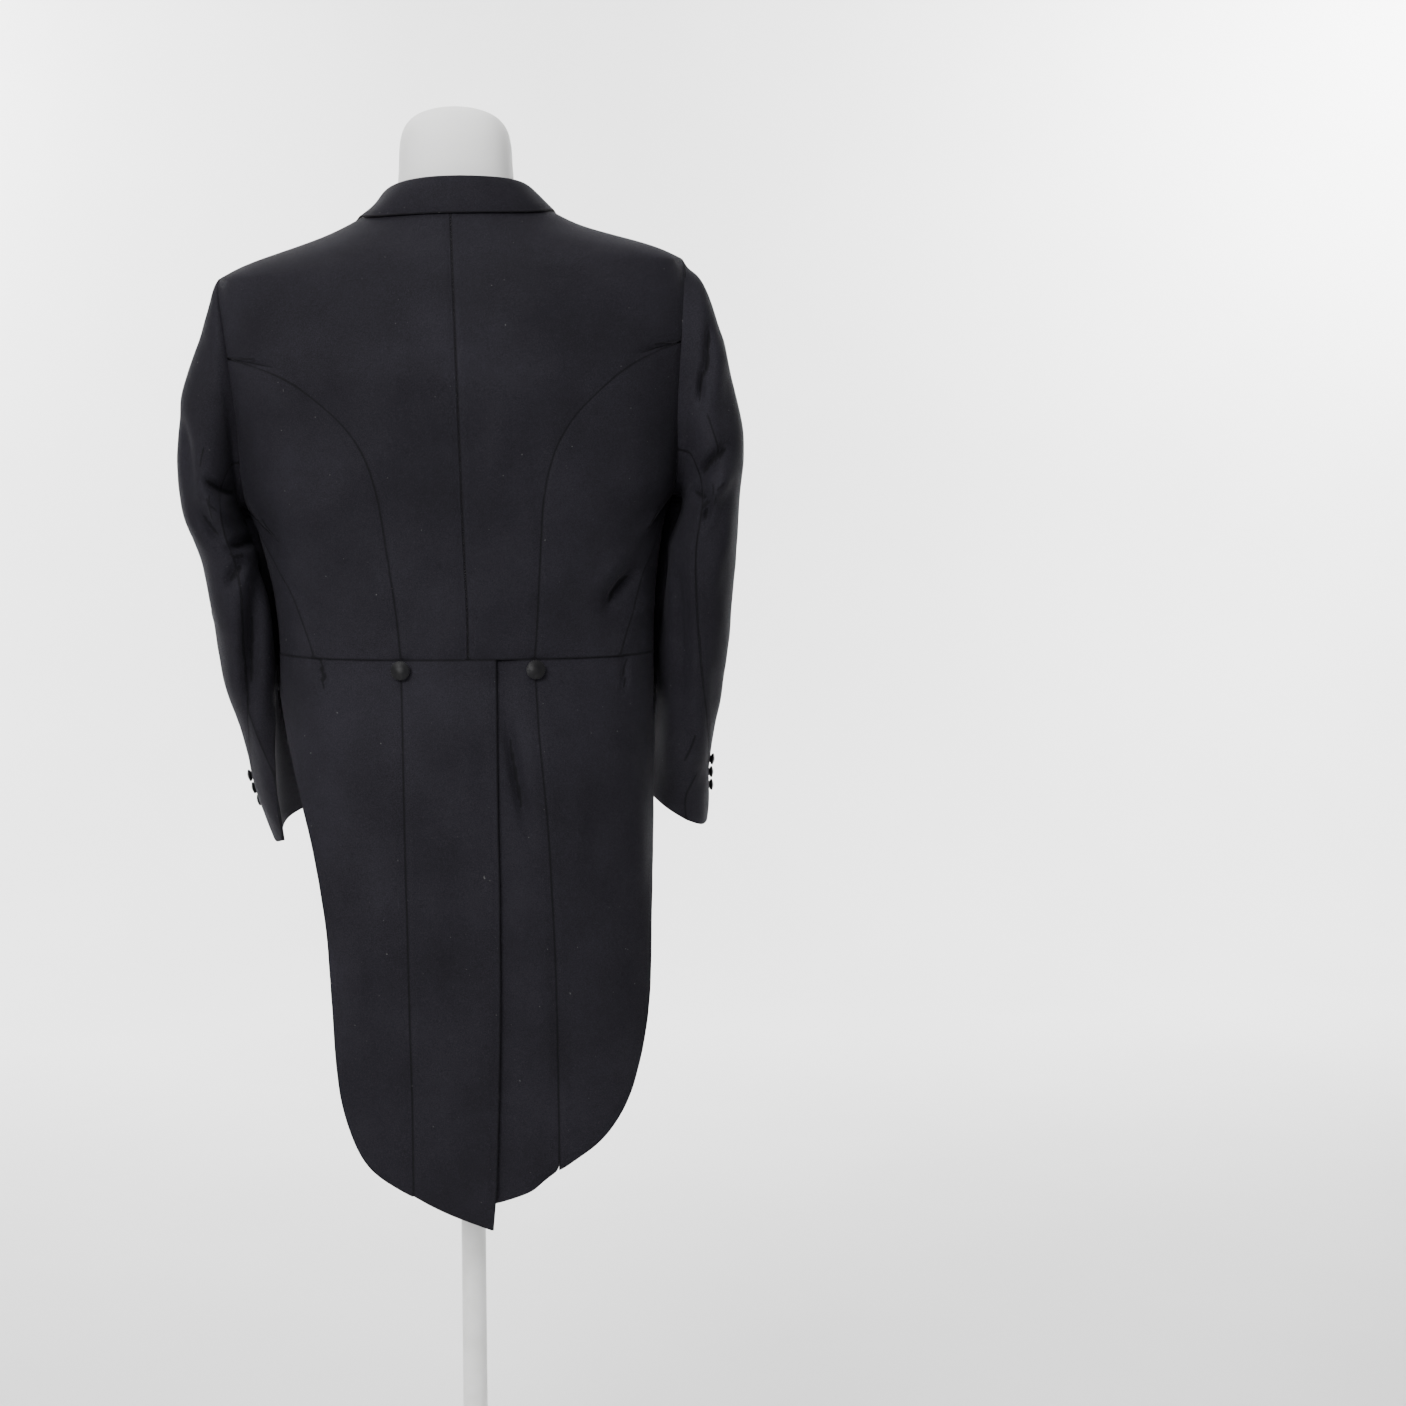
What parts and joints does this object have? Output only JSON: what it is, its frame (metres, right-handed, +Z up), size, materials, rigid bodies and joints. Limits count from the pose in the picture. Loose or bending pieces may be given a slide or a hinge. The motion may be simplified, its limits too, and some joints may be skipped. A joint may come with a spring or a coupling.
{
  "type": "white tie tailcoat on a dress form",
  "caption": "Black tailcoat with a cutaway front, long tails with a lapped back vent and covered buttons, worn open on a limbless white dress form with a pole and round foot.",
  "frame": {"origin": "middle of the stand's flat underside", "axes": "+Z up along the stand's pole; the coat's front faces -Y and the wearer's left is +X"},
  "size_m": [0.557, 0.35, 1.5726],
  "materials": {
    "black_wool": "fine matt wool",
    "black_satin": "silk satin",
    "white_form": "smooth matt white"
  },
  "bodies": {
    "root": {"back_left": "black_wool", "back_right": "black_wool", "collar": "black_wool", "cuff_button_left_1": "black_satin", "cuff_button_left_2": "black_satin", "cuff_button_left_3": "black_satin", "cuff_button_right_1": "black_satin", "cuff_button_right_2": "black_satin", "cuff_button_right_3": "black_satin", "form_torso": "white_form", "front_button_left_1": "black_satin", "front_button_left_2": "black_satin", "front_button_left_3": "black_satin", "front_button_right_1": "black_satin", "front_button_right_2": "black_satin", "front_button_right_3": "black_satin", "front_left": "black_wool", "front_right": "black_wool", "lapel_left": "black_satin", "lapel_right": "black_satin", "side_body_left": "black_wool", "side_body_right": "black_wool", "stand_foot": "white_form", "stand_pole": "white_form", "tail_back_left": "black_wool", "tail_back_right": "black_wool", "tail_side_left": "black_wool", "tail_side_right": "black_wool", "top_sleeve_left": "black_wool", "top_sleeve_right": "black_wool", "under_sleeve_left": "black_wool", "under_sleeve_right": "black_wool", "waist_button_left": "black_satin", "waist_button_right": "black_satin"}
  },
  "joints": []
}
